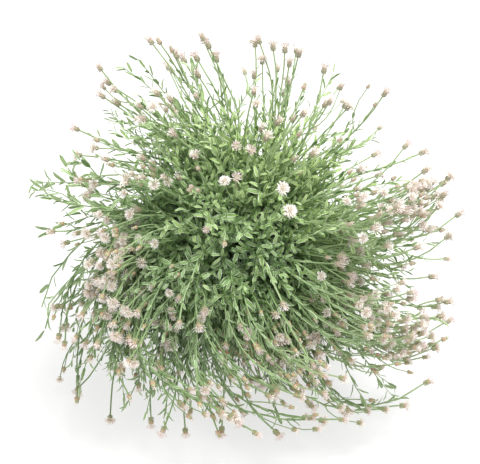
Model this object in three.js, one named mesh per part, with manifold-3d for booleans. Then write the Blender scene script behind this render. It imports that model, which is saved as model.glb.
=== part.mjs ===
// A potted Hirtellina kurdica, a small cliff-growing sub-shrub of the daisy family.
// Millimetres, +Z up. The origin is the centre of the pot's flat base, and the viewer stands on the -Y side.
// A clay pot holds the soil, a woody rootstock sits in the soil, and branches leave the rootstock all round.
// Every other branch forks into flowering stems, and those between them fork into short leafy shoots. The open
// flower head on a flowering branch's leading stem is a solid of its own.

import * as THREE from "three";
import { mergeVertices } from "three/addons/utils/BufferGeometryUtils.js";
import Module from "manifold-3d";

const wasm = await Module();
wasm.setup();

// Clearance between two solids that touch on the real plant
const GAP = 0.3;

// Faces finer than this are merged where shapes are joined
const SLIVER = 0.02;

// Pot
const POT_HEIGHT = 104;
const RIM_RADIUS = 67;
const RIM_BAND = 22;
const RIM_STEP = 4;
const BASE_RADIUS = 43;
const POT_WALL = 5.5;
const POT_FLOOR = 7;
const POT_SIDES = 36;
const DRAIN_HOLES = 3;
const DRAIN_RADIUS = 5;
const DRAIN_SIDES = 12;
const DRAIN_CIRCLE = 21;

// Soil
const SOIL_BELOW_RIM = 16;
const SOIL_MOUND = 6;

// Rootstock
const CROWN_HEIGHT = 102;
const CROWN_RADIUS = 22;
const ROOT_RADIUS = 12;
const ROOT_DEPTH = 34;
const ROOTSTOCK_SIDES = 20;
const ROOTSTOCK_RINGS = 7;

// Branches
const BRANCHES = 37;
const LOWEST_LAUNCH = THREE.MathUtils.degToRad(11);
const GOLDEN_ANGLE = Math.PI * (3 - Math.sqrt(5));
const STUB_RADIUS = 2.4;
const FORK_RADIUS = 4.6;
const STUB_SIDES = 7;
const FORK_REACH = 31;
const FAN_AT_FORK = 0.28;
const FAN_OUT_REACH = 66;
const STEM_RADIUS = 0.8;
const STEM_SIDES = 4;
const LINE_POINTS = 8;
const LOWEST_TIP_HEIGHT = 20;

// How growth arches over the rim: where it starts and ends to droop, and how steeply the lowest then hangs
const STEM_HABIT = { from: 60, to: 205, lowest: THREE.MathUtils.degToRad(-22) };
const SHOOT_HABIT = { from: 45, to: 125, lowest: THREE.MathUtils.degToRad(-28) };

// Flowering stems
const STEMS = 110;
const STEM_SWAY = THREE.MathUtils.degToRad(3.5);
const SHORTEST_STEM = 150;
const LONGEST_STEM = 208;
const STEM_RINGS = 4;

// Leafy shoots
const SHOOTS = 80;
const SHOOT_OFFSET = 0.5;
const SHORTEST_SHOOT = 98;
const LONGEST_SHOOT = 120;
const SHOOT_RINGS = 4;
const LEAVES_PER_RING = 2;
const LEAF_LENGTH = 16;
const LEAF_WIDTH = 4;
const LEAF_THICKNESS = 1;
const LEAF_FOOT = 0.3;
const LEAF_ANGLE = THREE.MathUtils.degToRad(32);
const SHOOT_TRIES = 12;
const SHOOT_NUDGE = THREE.MathUtils.degToRad(2);

// Flower heads: the radius at each height, from the stalk up through the cup of bracts to the florets
const BUD_PROFILE = [
  [2.9, 3.8],
  [2.2, 8],
  [0, 9.4],
];
const OPEN_PROFILE = [
  [0, 0],
  [1.3, 0.2],
  [2.9, 3],
  [2.6, 7.5],
  [6, 12.2],
  [0, 14],
];
const OPEN_SIDES = 7;

const clay = new THREE.MeshStandardMaterial({ color: 0xb5694a, roughness: 0.9, metalness: 0 });
const earth = new THREE.MeshStandardMaterial({ color: 0x3a2c22, roughness: 1, metalness: 0 });
const bark = new THREE.MeshStandardMaterial({ color: 0x7a6850, roughness: 0.9, metalness: 0 });
const foliage = new THREE.MeshStandardMaterial({ color: 0x6f9350, roughness: 0.7, metalness: 0 });
const petals = new THREE.MeshStandardMaterial({ color: 0xe9d3ca, roughness: 0.8, metalness: 0 });

const crownCentre = new THREE.Vector3(0, 0, CROWN_HEIGHT);
const up = new THREE.Vector3(0, 0, 1);

// A closed three.js geometry as a manifold-3d solid
function solidOf(geometry) {
  const bare = geometry.index ? geometry.toNonIndexed() : geometry.clone();
  bare.deleteAttribute("normal");
  bare.deleteAttribute("uv");
  const merged = mergeVertices(bare, 1e-4);
  const corners = Array.from(merged.index.array);
  const kept = [];
  for (let i = 0; i < corners.length; i += 3) {
    const [a, b, c] = corners.slice(i, i + 3);
    if (a !== b && b !== c && c !== a) kept.push(a, b, c);
  }
  return new wasm.Manifold(
    new wasm.Mesh({
      numProp: 3,
      vertProperties: new Float32Array(merged.attributes.position.array),
      triVerts: new Uint32Array(kept),
    }),
  );
}

function geometryOf(solid) {
  const mesh = solid.getMesh();
  const geometry = new THREE.BufferGeometry();
  geometry.setAttribute("position", new THREE.BufferAttribute(new Float32Array(mesh.vertProperties), 3));
  geometry.setIndex(new THREE.BufferAttribute(new Uint32Array(mesh.triVerts), 1));
  const flat = geometry.toNonIndexed();
  flat.computeVertexNormals();
  return flat;
}

function joined(geometries) {
  const whole = geometries.map(solidOf).reduce((sum, piece) => sum.add(piece));
  return whole.asOriginal().simplify(SLIVER);
}

// A profile of [radius, height] points turned about +Z
function turned(profile, sides) {
  const points = profile.map(([radius, height]) => new THREE.Vector2(radius, height));
  return new THREE.LatheGeometry(points, sides).rotateX(Math.PI / 2);
}

// Turns a geometry that stands on +Z to point along a direction, with its origin at a place
function placed(geometry, place, direction) {
  const turn = new THREE.Quaternion().setFromUnitVectors(up, direction);
  return geometry.applyQuaternion(turn).translate(place.x, place.y, place.z);
}

function named(name, solid, material) {
  const mesh = new THREE.Mesh(geometryOf(solid), material);
  mesh.name = name;
  return mesh;
}

// A repeatable scatter value from 0 to 1
function scatter(index, salt) {
  const wave = Math.sin(index * 12.9898 + salt * 78.233) * 43758.5453;
  return wave - Math.floor(wave);
}

// Even directions over the cap above the lowest launch angle, from the zenith down
function launchDirection(index, count, offset = 0) {
  const rise = 1 - ((index + 0.5) / count) * (1 - Math.sin(LOWEST_LAUNCH));
  const across = Math.sqrt(1 - rise * rise);
  const azimuth = index * GOLDEN_ANGLE + offset;
  return new THREE.Vector3(across * Math.cos(azimuth), across * Math.sin(azimuth), rise);
}

function nearestOf(branches, direction) {
  const nearness = branches.map(({ axis }) => axis.dot(direction));
  return branches[nearness.indexOf(Math.max(...nearness))];
}

// Where growth that was launched in a direction is at a distance from the crown: the lower it starts,
// the further it arches over the rim and hangs, and it never reaches the ground
function grownTo(direction, reach, habit, sway) {
  const launch = Math.asin(direction.z);
  const hang = THREE.MathUtils.smoothstep(reach, habit.from, habit.to);
  const share = (Math.PI / 2 - launch) / (Math.PI / 2 - LOWEST_LAUNCH);
  const tip = Math.PI / 2 - share * (Math.PI / 2 - habit.lowest);
  const grown = (reach / habit.to) ** 2;
  const steepest = Math.asin((LOWEST_TIP_HEIGHT - CROWN_HEIGHT) / Math.max(reach, CROWN_HEIGHT));
  const elevation = Math.max(launch + (tip - launch) * hang + sway.rise * grown, steepest);
  const azimuth = Math.atan2(direction.y, direction.x) + sway.turn * grown;
  return new THREE.Vector3(
    reach * Math.cos(elevation) * Math.cos(azimuth),
    reach * Math.cos(elevation) * Math.sin(azimuth),
    reach * Math.sin(elevation),
  ).add(crownCentre);
}

// The line of growth that leaves the fork of its branch and fans out to its own direction
function growthLine(axis, { direction, reach, habit, sway }) {
  const points = [];
  for (let i = 0; i <= LINE_POINTS; i += 1) {
    const distance = THREE.MathUtils.lerp(FORK_REACH - 1, reach, i / LINE_POINTS);
    const fan = THREE.MathUtils.mapLinear(distance, FORK_REACH, FAN_OUT_REACH, FAN_AT_FORK, 1);
    const heading = axis.clone().lerp(direction, Math.min(fan, 1)).normalize();
    points.push(grownTo(heading, distance, habit, sway));
  }
  return new THREE.CatmullRomCurve3(points);
}

// A turned shape whose axis is bent to follow a line, and runs straight on past the line's end
function bentAlong(line, profile) {
  const geometry = turned(profile, STEM_SIDES);
  const length = line.getLength();
  const start = line.getPoint(0);
  const level = new THREE.Vector3(-start.y, start.x, 0);
  const corner = new THREE.Vector3();
  const { position } = geometry.attributes;
  for (let i = 0; i < position.count; i += 1) {
    corner.fromBufferAttribute(position, i);
    const share = THREE.MathUtils.clamp(corner.z / length, 0, 1);
    const along = line.getTangentAt(share);
    const across = level.clone().projectOnPlane(along).normalize();
    const spot = line.getPointAt(share).addScaledVector(along, corner.z - share * length);
    spot.addScaledVector(across, corner.x).addScaledVector(along.clone().cross(across), corner.y);
    position.setXYZ(i, spot.x, spot.y, spot.z);
  }
  return geometry;
}

// An even rod as a profile, with a number of rings between its ends
function rodProfile(length, rings) {
  const levels = Array.from({ length: rings + 1 }, (_, i) => [STEM_RADIUS, (i / rings) * length]);
  return [[0, 0], ...levels, [0, length]];
}

// A rod whose top swells into a closed flower head
function budProfile(length, rings) {
  const head = BUD_PROFILE.map(([radius, height]) => [radius, length + height]);
  return [...rodProfile(length, rings).slice(0, -1), ...head];
}

function leafBlade(place, direction) {
  const blade = new THREE.OctahedronGeometry(0.5).scale(LEAF_THICKNESS, LEAF_WIDTH, LEAF_LENGTH);
  return placed(blade.translate(0, 0, LEAF_LENGTH / 2 - LEAF_FOOT), place, direction);
}

// A woody stub on the rootstock that widens to the fork where its growth leaves it
function stub(axis) {
  const length = FORK_REACH - CROWN_RADIUS - GAP;
  const cone = new THREE.CylinderGeometry(FORK_RADIUS, STUB_RADIUS, length, STUB_SIDES);
  cone.rotateX(Math.PI / 2).translate(0, 0, length / 2);
  return placed(cone, crownCentre.clone().addScaledVector(axis, CROWN_RADIUS + GAP), axis);
}

// A flowering branch, whose stems all carry a closed flower head except the leading one
function floweringBranch({ axis, stems }) {
  const rods = stems.map((stem) => {
    const line = growthLine(axis, stem);
    const profile = stem === stems[0] ? rodProfile : budProfile;
    return bentAlong(line, profile(line.getLength(), STEM_RINGS));
  });
  return joined([stub(axis), ...rods]);
}

// A shoot with pairs of leaves at its outer rings
function leafyShoot(axis, shoot, turn) {
  const line = growthLine(axis, shoot);
  const pieces = [bentAlong(line, rodProfile(line.getLength(), SHOOT_RINGS))];
  for (let ring = 2; ring <= SHOOT_RINGS; ring += 1) {
    const along = line.getTangentAt(ring / SHOOT_RINGS);
    const place = line.getPointAt(ring / SHOOT_RINGS).addScaledVector(along, -STEM_RADIUS / 2);
    const sideways = new THREE.Vector3(-along.y, along.x, 0).normalize();
    for (let leaf = 0; leaf < LEAVES_PER_RING; leaf += 1) {
      const side = sideways.clone().applyAxisAngle(along, turn + ring + (leaf / LEAVES_PER_RING) * 2 * Math.PI);
      pieces.push(leafBlade(place, along.clone().applyAxisAngle(side, LEAF_ANGLE)));
    }
  }
  return joined(pieces);
}

// A leafy branch. Each shoot is turned and nudged until it keeps clear of all that has grown, or isn't grown
function leafyBranch({ axis, shoots }, grown) {
  let whole = joined([stub(axis)]);
  for (const shoot of shoots) {
    for (let attempt = 0; attempt < SHOOT_TRIES; attempt += 1) {
      const nudge = { rise: 0, turn: SHOOT_NUDGE * Math.ceil(attempt / 2) * (-1) ** attempt };
      const solid = leafyShoot(axis, { ...shoot, sway: nudge }, attempt);
      if (grown.every((other) => solid.minGap(other, GAP) >= GAP)) {
        whole = whole.add(solid);
        break;
      }
    }
  }
  return whole.asOriginal().simplify(SLIVER);
}

function leadingHead({ axis, stems }) {
  const line = growthLine(axis, stems[0]);
  const along = line.getTangent(1);
  return solidOf(placed(turned(OPEN_PROFILE, OPEN_SIDES), line.getPoint(1).addScaledVector(along, GAP), along));
}

function pot() {
  const inside = RIM_RADIUS - POT_WALL;
  const bodyTop = POT_HEIGHT - RIM_BAND;
  const outer = turned(
    [
      [0, 0],
      [BASE_RADIUS - 1.5, 0],
      [BASE_RADIUS, 1.5],
      [RIM_RADIUS - RIM_STEP - 2, bodyTop],
      [RIM_RADIUS - 2, bodyTop + 2],
      [RIM_RADIUS, POT_HEIGHT - 2],
      [RIM_RADIUS - 2, POT_HEIGHT],
      [inside + 1.5, POT_HEIGHT],
      [inside, POT_HEIGHT - 2],
      [BASE_RADIUS - POT_WALL, POT_FLOOR],
      [0, POT_FLOOR],
    ],
    POT_SIDES,
  );
  let whole = solidOf(outer);
  for (let i = 0; i < DRAIN_HOLES; i += 1) {
    const angle = (i / DRAIN_HOLES) * 2 * Math.PI;
    const hole = new THREE.CylinderGeometry(DRAIN_RADIUS, DRAIN_RADIUS, 3 * POT_FLOOR, DRAIN_SIDES);
    hole.rotateX(Math.PI / 2).translate(DRAIN_CIRCLE * Math.cos(angle), DRAIN_CIRCLE * Math.sin(angle), 0);
    whole = whole.subtract(solidOf(hole));
  }
  return whole;
}

function soil() {
  const top = POT_HEIGHT - SOIL_BELOW_RIM;
  const insideTop = RIM_RADIUS - POT_WALL;
  const insideFoot = BASE_RADIUS - POT_WALL;
  const slope = (insideTop - insideFoot) / (POT_HEIGHT - 2 - POT_FLOOR);
  const wallAt = (height) => insideFoot + slope * (height - POT_FLOOR) - GAP * 1.5;
  const mound = top + SOIL_MOUND;
  const pocket = mound - ROOT_DEPTH;
  const shape = turned(
    [
      [0, POT_FLOOR + GAP],
      [wallAt(POT_FLOOR + GAP), POT_FLOOR + GAP],
      [wallAt(top), top],
      [ROOT_RADIUS * 2.4, top + SOIL_MOUND * 0.7],
      [ROOT_RADIUS + GAP, mound],
      [ROOT_RADIUS * 0.8 + GAP, pocket],
      [0, pocket],
    ],
    POT_SIDES,
  );
  return solidOf(shape);
}

// A woody stock: a tapering root down in the soil, and a burl above it that the branches leave
function rootstock() {
  const mound = POT_HEIGHT - SOIL_BELOW_RIM + SOIL_MOUND;
  const foot = mound - ROOT_DEPTH + GAP;
  const profile = [
    [0, foot],
    [ROOT_RADIUS * 0.8, foot],
    [ROOT_RADIUS, mound + GAP],
    [ROOT_RADIUS * 1.3, mound + 2],
  ];
  for (let i = 0; i <= ROOTSTOCK_RINGS; i += 1) {
    const angle = THREE.MathUtils.lerp(-0.2, Math.PI / 2, i / ROOTSTOCK_RINGS);
    profile.push([CROWN_RADIUS * Math.cos(angle), CROWN_HEIGHT + CROWN_RADIUS * Math.sin(angle)]);
  }
  profile[profile.length - 1][0] = 0;
  return solidOf(turned(profile, ROOTSTOCK_SIDES));
}

// Branches alternate between flowering and leafy ones, and each stem or shoot belongs to the nearest of its kind.
// A flowering branch's first stem, the one nearest to its axis, is the leading one
function growth() {
  const axes = Array.from({ length: BRANCHES }, (_, i) => launchDirection(i, BRANCHES));
  const flowering = axes.filter((_, i) => i % 2 === 0).map((axis) => ({ axis, stems: [] }));
  const leafy = axes.filter((_, i) => i % 2 === 1).map((axis) => ({ axis, shoots: [] }));
  for (let i = 0; i < STEMS; i += 1) {
    const direction = launchDirection(i, STEMS);
    const sway = { rise: STEM_SWAY * (2 * scatter(i, 2) - 1), turn: STEM_SWAY * (2 * scatter(i, 3) - 1) };
    const reach = THREE.MathUtils.lerp(SHORTEST_STEM, LONGEST_STEM, scatter(i, 1));
    nearestOf(flowering, direction).stems.push({ direction, reach, habit: STEM_HABIT, sway });
  }
  for (let i = 0; i < SHOOTS; i += 1) {
    const direction = launchDirection(i, SHOOTS, SHOOT_OFFSET);
    const reach = THREE.MathUtils.lerp(SHORTEST_SHOOT, LONGEST_SHOOT, scatter(i, 4));
    nearestOf(leafy, direction).shoots.push({ direction, reach, habit: SHOOT_HABIT });
  }
  for (const { axis, stems } of flowering) {
    stems.sort((a, b) => b.direction.dot(axis) - a.direction.dot(axis));
  }
  return { flowering, leafy };
}

const numbered = (name, index) => `${name}_${String(index + 1).padStart(2, "0")}`;
const plant = new THREE.Group();
plant.add(named("pot", pot(), clay));
plant.add(named("soil", soil(), earth));
plant.add(named("rootstock", rootstock(), bark));

const { flowering, leafy } = growth();
const grown = [];
flowering.forEach((branch, index) => {
  const stems = floweringBranch(branch);
  const head = leadingHead(branch);
  grown.push(stems, head);
  plant.add(named(numbered("flowering_stems", index), stems, foliage));
  plant.add(named(numbered("flower_head", index), head, petals));
});
leafy.forEach((branch, index) => {
  const shoots = leafyBranch(branch, grown);
  grown.push(shoots);
  plant.add(named(numbered("leafy_shoots", index), shoots, foliage));
});

export default plant;
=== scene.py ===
import math

import bpy
import numpy as np
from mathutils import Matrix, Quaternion, Vector, noise


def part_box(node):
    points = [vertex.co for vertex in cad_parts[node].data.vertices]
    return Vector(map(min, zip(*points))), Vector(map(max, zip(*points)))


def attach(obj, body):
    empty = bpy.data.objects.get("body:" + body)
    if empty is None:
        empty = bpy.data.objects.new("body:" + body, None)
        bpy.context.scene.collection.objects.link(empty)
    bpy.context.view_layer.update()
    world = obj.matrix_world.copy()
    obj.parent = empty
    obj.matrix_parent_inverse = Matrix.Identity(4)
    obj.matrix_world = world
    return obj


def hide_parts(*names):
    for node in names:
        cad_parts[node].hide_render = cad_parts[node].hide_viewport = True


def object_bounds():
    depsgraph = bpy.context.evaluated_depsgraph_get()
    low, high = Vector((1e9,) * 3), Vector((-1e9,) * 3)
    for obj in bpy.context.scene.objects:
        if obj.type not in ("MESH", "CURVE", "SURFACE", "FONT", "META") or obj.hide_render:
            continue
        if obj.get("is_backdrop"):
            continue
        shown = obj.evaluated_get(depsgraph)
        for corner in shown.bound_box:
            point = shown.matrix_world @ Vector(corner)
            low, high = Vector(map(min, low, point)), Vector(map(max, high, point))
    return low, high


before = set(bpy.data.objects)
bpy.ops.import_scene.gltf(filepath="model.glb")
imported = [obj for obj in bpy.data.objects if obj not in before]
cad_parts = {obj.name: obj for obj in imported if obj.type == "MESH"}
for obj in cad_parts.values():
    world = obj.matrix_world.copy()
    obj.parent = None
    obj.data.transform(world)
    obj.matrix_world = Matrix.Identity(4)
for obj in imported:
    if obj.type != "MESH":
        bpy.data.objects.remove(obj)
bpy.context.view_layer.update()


# Clay pot. A plain thrown flowerpot of unglazed earthenware with a thick rim band. One disc of clay is drawn
# up into the wall, over the lip and down inside, and three drainage holes are cut through its base.

pot_sides = 96
base_radius = 0.043
rim_radius = 0.067
pot_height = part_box("pot")[1].z
band_height = 0.022
band_step = 0.004
wall = 0.0055
floor_thickness = 0.007
ring_spacing = 0.0042
ring_depth = 0.00022
foot_edge = 0.002
band_gap = 0.003
band_shoulder = 0.001
drain_holes = 3
drain_radius = 0.005
drain_circle = 0.021
drain_sides = 32
drill_depth = 0.04
crease_angle = 35

# Rings of the pot's section, each in from its radius and then a height: above the floor, above the foot of
# the rim band, and below the lip for the last two
foot_rings = [(0.0018, 0), (0.0005, 0.0006), (0, foot_edge)]
band_rings = [(0.0025, 0.0009), (0.0017, 0.0026), (0.0011, 0.009), (0.0004, 0.016)]
lip_rings = [(0.0002, 0.0026), (0.0009, 0.0009), (0.0022, 0)]
mouth_rings = [(-0.0016, 0), (-0.0005, 0.0008), (0, 0.002), (0.006, 0.026)]


def scatter(index, salt):
    """A repeatable scatter value from 0 to 1."""
    wave = math.sin(index * 12.9898 + salt * 78.233) * 43758.5453
    return wave - math.floor(wave)


def select_only(piece):
    bpy.ops.object.select_all(action="DESELECT")
    piece.select_set(True)
    bpy.context.view_layer.objects.active = piece


def circle(name, sides, **settings):
    """A circle, in edit mode with all of it selected."""
    bpy.ops.mesh.primitive_circle_add(vertices=sides, **settings)
    piece = bpy.context.active_object
    piece.name = name
    bpy.ops.object.transform_apply(location=True, rotation=True, scale=True)
    bpy.ops.object.mode_set(mode="EDIT")
    bpy.ops.mesh.select_all(action="SELECT")
    return piece


def extrude(*by):
    bpy.ops.mesh.extrude_region_move(TRANSFORM_OT_translate={"value": by})


def close_mesh():
    """Turns every face outwards and leaves edit mode."""
    bpy.ops.mesh.select_all(action="SELECT")
    bpy.ops.mesh.normals_make_consistent(inside=False)
    bpy.ops.object.mode_set(mode="OBJECT")


def drawn(name, sides, profile):
    """A disc at the profile's first (radius, height), drawn from ring to ring of it in edit mode."""
    radius, height = profile[0]
    piece = circle(name, sides, radius=radius, fill_type="NGON", location=(0, 0, height))
    for next_radius, next_height in profile[1:]:
        extrude(0, 0, next_height - height)
        widen = next_radius / radius
        bpy.ops.transform.resize(value=(widen, widen, 1), center_override=(0, 0, next_height))
        radius, height = next_radius, next_height
    close_mesh()
    return piece


def placed(name, data):
    """A new object in the scene."""
    piece = bpy.data.objects.new(name, data)
    bpy.context.scene.collection.objects.link(piece)
    return piece


def smooth(piece, degrees):
    """Smooth shading, with a crease wherever faces meet at more than an angle."""
    select_only(piece)
    bpy.ops.object.shade_smooth_by_angle(angle=math.radians(degrees))


def paint(code):
    """The linear colour of a hex code."""
    parts = [int(code[i:i + 2], 16) / 255 for i in (1, 3, 5)]
    return [c / 12.92 if c <= 0.04045 else ((c + 0.055) / 1.055) ** 2.4 for c in parts] + [1]


def new_finish(name, roughness):
    """A new material with one Principled shader."""
    material = bpy.data.materials.new(name)
    material.use_nodes = True
    material.node_tree.nodes["Principled BSDF"].inputs["Roughness"].default_value = roughness
    return material


def add(material, kind, sockets, **settings):
    """Adds a shader node. A socket is given a number, a hex code, or the output that feeds it."""
    tree = material.node_tree
    node = tree.nodes.new("ShaderNode" + kind)
    for key, value in settings.items():
        setattr(node, key, value)
    for key, value in sockets.items():
        if isinstance(value, bpy.types.NodeSocket):
            tree.links.new(value, node.inputs[key])
        else:
            node.inputs[key].default_value = paint(value) if isinstance(value, str) else value
    return node


def mixed(material, share, first, second):
    """The first colour, and the second by a share."""
    return add(material, "Mix", {0: share, 6: first, 7: second}, data_type="RGBA").outputs[2]


def layered(material, colour, *layers):
    """A colour with others over it, each by its share."""
    for share, over in layers:
        colour = mixed(material, share, colour, over)
    return colour


def ranged(material, value, low, high, most=1):
    """Takes a value from low..high to 0..most, with soft ends."""
    sockets = {0: value, 1: low, 2: high, 4: most}
    return add(material, "MapRange", sockets, interpolation_type="SMOOTHSTEP").outputs[0]


def mottle(material, scale, detail, roughness=0.55):
    """Noise over the object's own coordinates."""
    place = add(material, "TexCoord", {}).outputs["Object"]
    sockets = {"Vector": place, "Scale": scale, "Detail": detail, "Roughness": roughness}
    return add(material, "TexNoise", sockets).outputs["Fac"]


def coat(material, colour, *bump):
    """Joins a colour, and a bump if its height, strength and depth are given, to the material's shader."""
    shader = material.node_tree.nodes["Principled BSDF"]
    material.node_tree.links.new(colour, shader.inputs["Base Color"])
    if bump:
        relief = add(material, "Bump", dict(zip(("Height", "Strength", "Distance"), bump)))
        material.node_tree.links.new(relief.outputs["Normal"], shader.inputs["Normal"])


body_top = pot_height - band_height
profile = [(base_radius - inward, height) for inward, height in foot_rings]
rings = int(body_top / ring_spacing)
for i in range(1, rings + 1):
    height = foot_edge + (body_top - band_gap) * i / rings
    lean = (rim_radius - band_step - foot_edge - base_radius) * height / body_top
    profile.append((base_radius + lean + ring_depth * (scatter(i, 9) - 0.5), height))
inside = rim_radius - wall
profile.append((rim_radius - band_step - band_shoulder, body_top))
profile += [(rim_radius - inward, body_top + up) for inward, up in band_rings]
profile += [(rim_radius - inward, pot_height - down) for inward, down in lip_rings]
profile += [(inside - inward, pot_height - down) for inward, down in mouth_rings]
profile.append((base_radius - wall, floor_thickness + 0.003))
profile.append((base_radius - wall - 0.003, floor_thickness))
pot = drawn("clay_pot", pot_sides, profile)
for i in range(drain_holes):
    angle = i * 2 * math.pi / drain_holes
    place = (drain_circle * math.cos(angle), drain_circle * math.sin(angle), 0)
    bpy.ops.mesh.primitive_cylinder_add(vertices=drain_sides, radius=drain_radius, depth=drill_depth,
                                        location=place)
    cutter = bpy.context.active_object
    hole = pot.modifiers.new("hole", "BOOLEAN")
    hole.operation = "DIFFERENCE"
    hole.object = cutter
    select_only(pot)
    bpy.ops.object.modifier_apply(modifier=hole.name)
    bpy.data.objects.remove(cutter)
smooth(pot, crease_angle)

clay = new_finish("fired_clay", 0.88)
clay_colour = layered(
    clay,
    mixed(clay, mottle(clay, 22, 5), "#9a6650", "#b58268"),
    (ranged(clay, mottle(clay, 900, 2), 0.62, 0.72), "#7a5342"),
    (ranged(clay, mottle(clay, 38, 6, 0.7), 0.56, 0.74), "#c9ab98"),
)
coat(clay, clay_colour, mottle(clay, 420, 4), 0.35, 0.0002)
pot.data.materials.append(clay)
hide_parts("pot")
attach(pot, "root")


# Potting soil. A dark, crumbly mix of fine bark and loam, filled to below the lip and mounded to the plant's
# crown. It is one body drawn from the pot's floor to the mound and roughened, with loose crumbs on top.

soil_sides = 72
soil_foot = 0.0373
soil_edge = 0.0574
soil_edge_height = 0.0872
mound_height = 0.0939
soil_rings = 15
soil_roughness = 0.0011
soil_gap = 0.0003
crumbs = 260
crumb_size = 0.0011
crumb_margin = 0.003
crumb_rise = 0.0003
off_floor = 0.001


def arrays(piece):
    """A modelled shape's corners and faces as arrays, with the piece itself removed."""
    shape = {
        "corners": np.array([corner.co for corner in piece.data.vertices], float),
        "joints": np.array([loop.vertex_index for loop in piece.data.loops]),
        "counts": np.array([face.loop_total for face in piece.data.polygons]),
    }
    bpy.data.objects.remove(piece)
    return shape


def copies(name, batches, material):
    """One piece that joins copies of modelled shapes. A batch is a shape and its copies' places, turns (whose
    columns are the shape's axes), sizes along those axes, and tints. The shape's tones and the tint go to the
    attribute tone, and a copy that would reach the floor is lifted off it."""
    parts, met = [], 0
    for shape, places, turns, sizes, tints in batches:
        number, points = len(places), len(shape["corners"])
        if number == 0:
            continue
        spread = np.einsum("vk,nk,nik->nvi", shape["corners"], sizes, turns) + places[:, None, :]
        spread[:, :, 2] += np.maximum(0, off_floor - spread[:, :, 2].min(1))[:, None]
        joints = shape["joints"][None, :] + (met + np.arange(number) * points)[:, None]
        tones = np.ones((number, points, 4))
        tones[:, :, :3] = shape.get("tones", np.zeros((points, 3)))
        tones[:, :, 3] = tints[:, None]
        counts = np.tile(shape["counts"], number)
        parts.append((spread.reshape(-1, 3), joints.ravel(), counts, tones.reshape(-1, 4)))
        met += number * points
    corners, joints, counts, tones = (np.concatenate(part) for part in zip(*parts))
    mesh = bpy.data.meshes.new(name)
    mesh.vertices.add(len(corners))
    mesh.vertices.foreach_set("co", corners.ravel())
    mesh.loops.add(len(joints))
    mesh.loops.foreach_set("vertex_index", joints)
    mesh.polygons.add(len(counts))
    mesh.polygons.foreach_set("loop_start", np.concatenate([[0], np.cumsum(counts)[:-1]]))
    mesh.update(calc_edges=True)
    tone = mesh.attributes.new("tone", "FLOAT_COLOR", "POINT")
    tone.data.foreach_set("color", tones.ravel())
    mesh.materials.append(material)
    return placed(name, mesh)


def mound(share):
    """The soil's height at a share of the way from its edge to its middle."""
    return soil_edge_height + (mound_height - soil_edge_height) * share ** 0.7


def lumps(place, coarse, fine, fine_share):
    """Smooth random lumps of two sizes."""
    return noise.noise(place * coarse) + fine_share * noise.noise(place * fine)


rng = np.random.default_rng(11)
profile = [(soil_foot, floor_thickness + soil_gap), (soil_edge, soil_edge_height)]
for i in range(1, soil_rings + 1):
    profile.append((soil_edge * (1 - i / soil_rings * 0.97), mound(i / soil_rings)))
soil = drawn("potting_soil", soil_sides, profile)
for corner in soil.data.vertices:
    if corner.co.z > soil_edge_height - 0.001:
        corner.co.z += soil_roughness * lumps(corner.co, 90, 300, 0.6)
smooth(soil, 70)

bpy.ops.mesh.primitive_ico_sphere_add(subdivisions=1, radius=1)
crumb = bpy.context.active_object
for i, corner in enumerate(crumb.data.vertices):
    corner.co *= 0.75 + 0.5 * scatter(i, 5)
crumb = arrays(crumb)

radii = (soil_edge - crumb_margin) * np.sqrt(rng.uniform(0.06, 1, crumbs))
bearings = rng.uniform(0, 2 * math.pi, crumbs)
heights = mound(1 - radii / soil_edge) + crumb_rise
places = np.stack([radii * np.cos(bearings), radii * np.sin(bearings), heights], 1)
sizes = crumb_size * rng.uniform(0.5, 1.7, (crumbs, 1)) * rng.uniform(0.6, 1.2, (crumbs, 3))

earth = new_finish("damp_soil", 0.95)
earth_colour = mixed(earth, mottle(earth, 260, 5), "#2a1f17", "#4d3b2c")
earth_colour = mixed(earth, ranged(earth, mottle(earth, 700, 2), 0.6, 0.68), earth_colour, "#8a7358")
coat(earth, earth_colour, mottle(earth, 500, 5), 0.8, 0.0008)
soil.data.materials.append(earth)
turns = np.array([Quaternion(turn).normalized().to_matrix() for turn in rng.normal(size=(crumbs, 4))])
grit = copies("soil_crumbs", [(crumb, places, turns, sizes, rng.uniform(0, 1, crumbs))], earth)
for piece in (soil, grit):
    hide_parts("soil")
    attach(piece, "root")


# Woody crown. The plant's old stock: a root that goes down into the soil and a gnarled burl above it, of hard
# brown wood in fissured bark. It is drawn up from its root and roughened, and the stems leave it all round.

crown = np.array([0, 0, 0.102])
burl_radius = 0.0215
root_radius = 0.0118
root_foot = 0.0604
burl_sides = 48
burl_rings = 16
burl_from = -0.35
bark_depth = 0.0013
bark_fissures = 9

root_rings = [(0.8, root_foot), (1, mound_height - 0.004), (1.25, mound_height)]
profile = [(root_radius * share, height) for share, height in root_rings]
for i in range(burl_rings):
    angle = burl_from + (math.pi / 2 - burl_from) * i / burl_rings
    profile.append((burl_radius * math.cos(angle), crown[2] + burl_radius * math.sin(angle)))
burl = drawn("woody_crown", burl_sides, profile)
for corner in burl.data.vertices:
    out = Vector((corner.co.x, corner.co.y, corner.co.z - crown[2])).normalized()
    bearing = math.atan2(corner.co.y, corner.co.x)
    fissures = abs(math.sin(bark_fissures * bearing + 3 * noise.noise(corner.co * 60)))
    corner.co += out * bark_depth * (lumps(corner.co, 130, 340, 0.5) + 0.5 * fissures - 0.6)
smooth(burl, 60)

bark = new_finish("old_bark", 0.9)
coat(bark, mixed(bark, mottle(bark, 140, 6, 0.7), "#4a3a2b", "#8d7a61"), mottle(bark, 420, 5), 0.7, 0.0008)
burl.data.materials.append(bark)
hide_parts("rootstock")
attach(burl, "root")


# Flowering stems. Thin, tough stems that leave the woody crown in bundles, fan out, arch over the rim and
# turn up at their tips. They are brown and woody at the foot and grey-green beyond, and near the top they
# divide to carry heads.

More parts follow.
